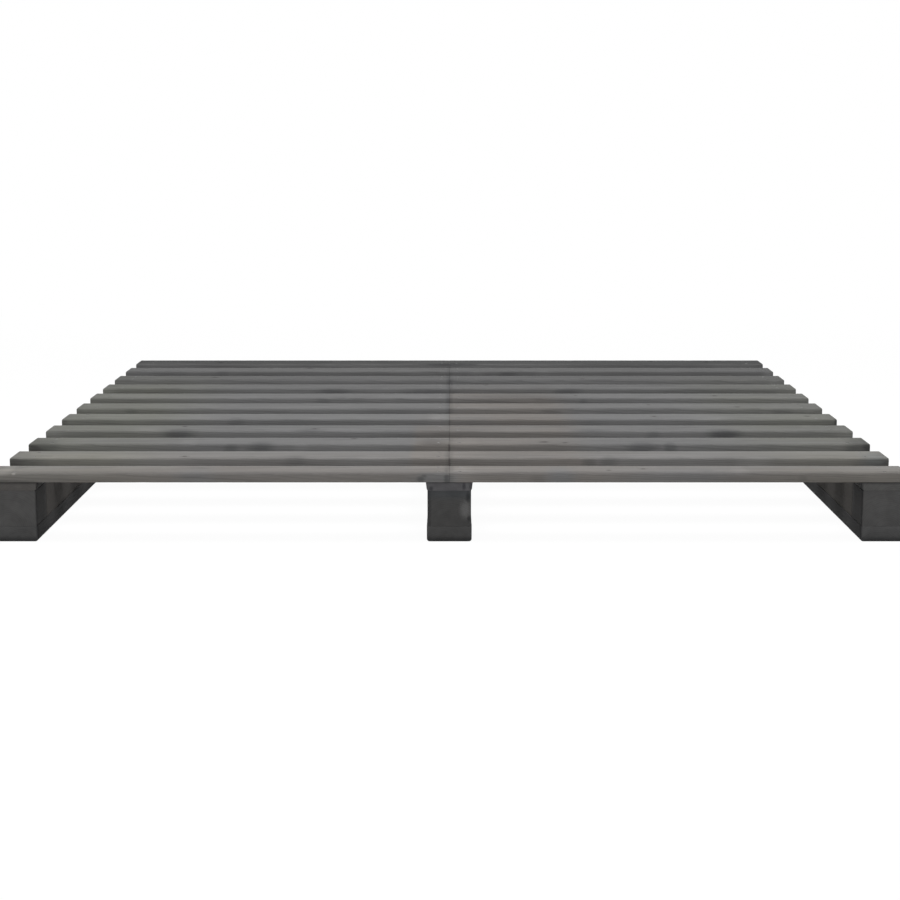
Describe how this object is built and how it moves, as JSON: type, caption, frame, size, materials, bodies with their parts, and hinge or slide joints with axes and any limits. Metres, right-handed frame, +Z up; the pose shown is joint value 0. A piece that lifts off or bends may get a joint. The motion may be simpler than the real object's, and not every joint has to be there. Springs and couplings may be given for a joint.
{
  "type": "pallet bed",
  "caption": "Low, wide bed base of grey-stained softwood slats on three closed box runners, built like a pallet, for a mattress laid straight on the slats.",
  "frame": {"origin": "on the floor, under the middle of the bed", "axes": "+X along the slats towards the bed's right side, +Y along the runners from the front end to the rear end, +Z up"},
  "size_m": [2, 2, 0.1519],
  "materials": {
    "slat_wood": "weathered grey stain on planed softwood, with dark knots and a warm tint near the middle",
    "runner_wood": "dark grey stain on planed softwood, with darker end grain",
    "core_wood": "bare sawn softwood, hidden inside the runners",
    "screw_steel": "zinc-plated countersunk cross-head screws"
  },
  "bodies": {
    "root": {"slat_01_left": "slat_wood", "slat_01_right": "slat_wood", "slat_02_left": "slat_wood", "slat_02_right": "slat_wood", "slat_03_left": "slat_wood", "slat_03_right": "slat_wood", "slat_04_left": "slat_wood", "slat_04_right": "slat_wood", "slat_05_left": "slat_wood", "slat_05_right": "slat_wood", "slat_06_left": "slat_wood", "slat_06_right": "slat_wood", "slat_07_left": "slat_wood", "slat_07_right": "slat_wood", "slat_08_left": "slat_wood", "slat_08_right": "slat_wood", "slat_09_left": "slat_wood", "slat_09_right": "slat_wood", "slat_10_left": "slat_wood", "slat_10_right": "slat_wood", "slat_11_left": "slat_wood", "slat_11_right": "slat_wood", "left_runner_skid": "runner_wood", "left_runner_stringer": "runner_wood", "left_runner_front_block": "runner_wood", "left_runner_rear_block": "runner_wood", "left_runner_outer_plank": "runner_wood", "left_runner_inner_plank": "runner_wood", "left_runner_spacer_1": "core_wood", "left_runner_spacer_2": "core_wood", "left_runner_skid_screw_1": "screw_steel", "left_runner_skid_screw_2": "screw_steel", "left_runner_skid_screw_3": "screw_steel", "left_runner_skid_screw_4": "screw_steel", "centre_runner_skid": "runner_wood", "centre_runner_stringer": "runner_wood", "centre_runner_front_block": "runner_wood", "centre_runner_rear_block": "runner_wood", "centre_runner_left_plank": "runner_wood", "centre_runner_right_plank": "runner_wood", "centre_runner_spacer_1": "core_wood", "centre_runner_spacer_2": "core_wood", "centre_runner_skid_screw_1": "screw_steel", "centre_runner_skid_screw_2": "screw_steel", "centre_runner_skid_screw_3": "screw_steel", "centre_runner_skid_screw_4": "screw_steel", "right_runner_skid": "runner_wood", "right_runner_stringer": "runner_wood", "right_runner_front_block": "runner_wood", "right_runner_rear_block": "runner_wood", "right_runner_inner_plank": "runner_wood", "right_runner_outer_plank": "runner_wood", "right_runner_spacer_1": "core_wood", "right_runner_spacer_2": "core_wood", "right_runner_skid_screw_1": "screw_steel", "right_runner_skid_screw_2": "screw_steel", "right_runner_skid_screw_3": "screw_steel", "right_runner_skid_screw_4": "screw_steel"}
  },
  "joints": []
}
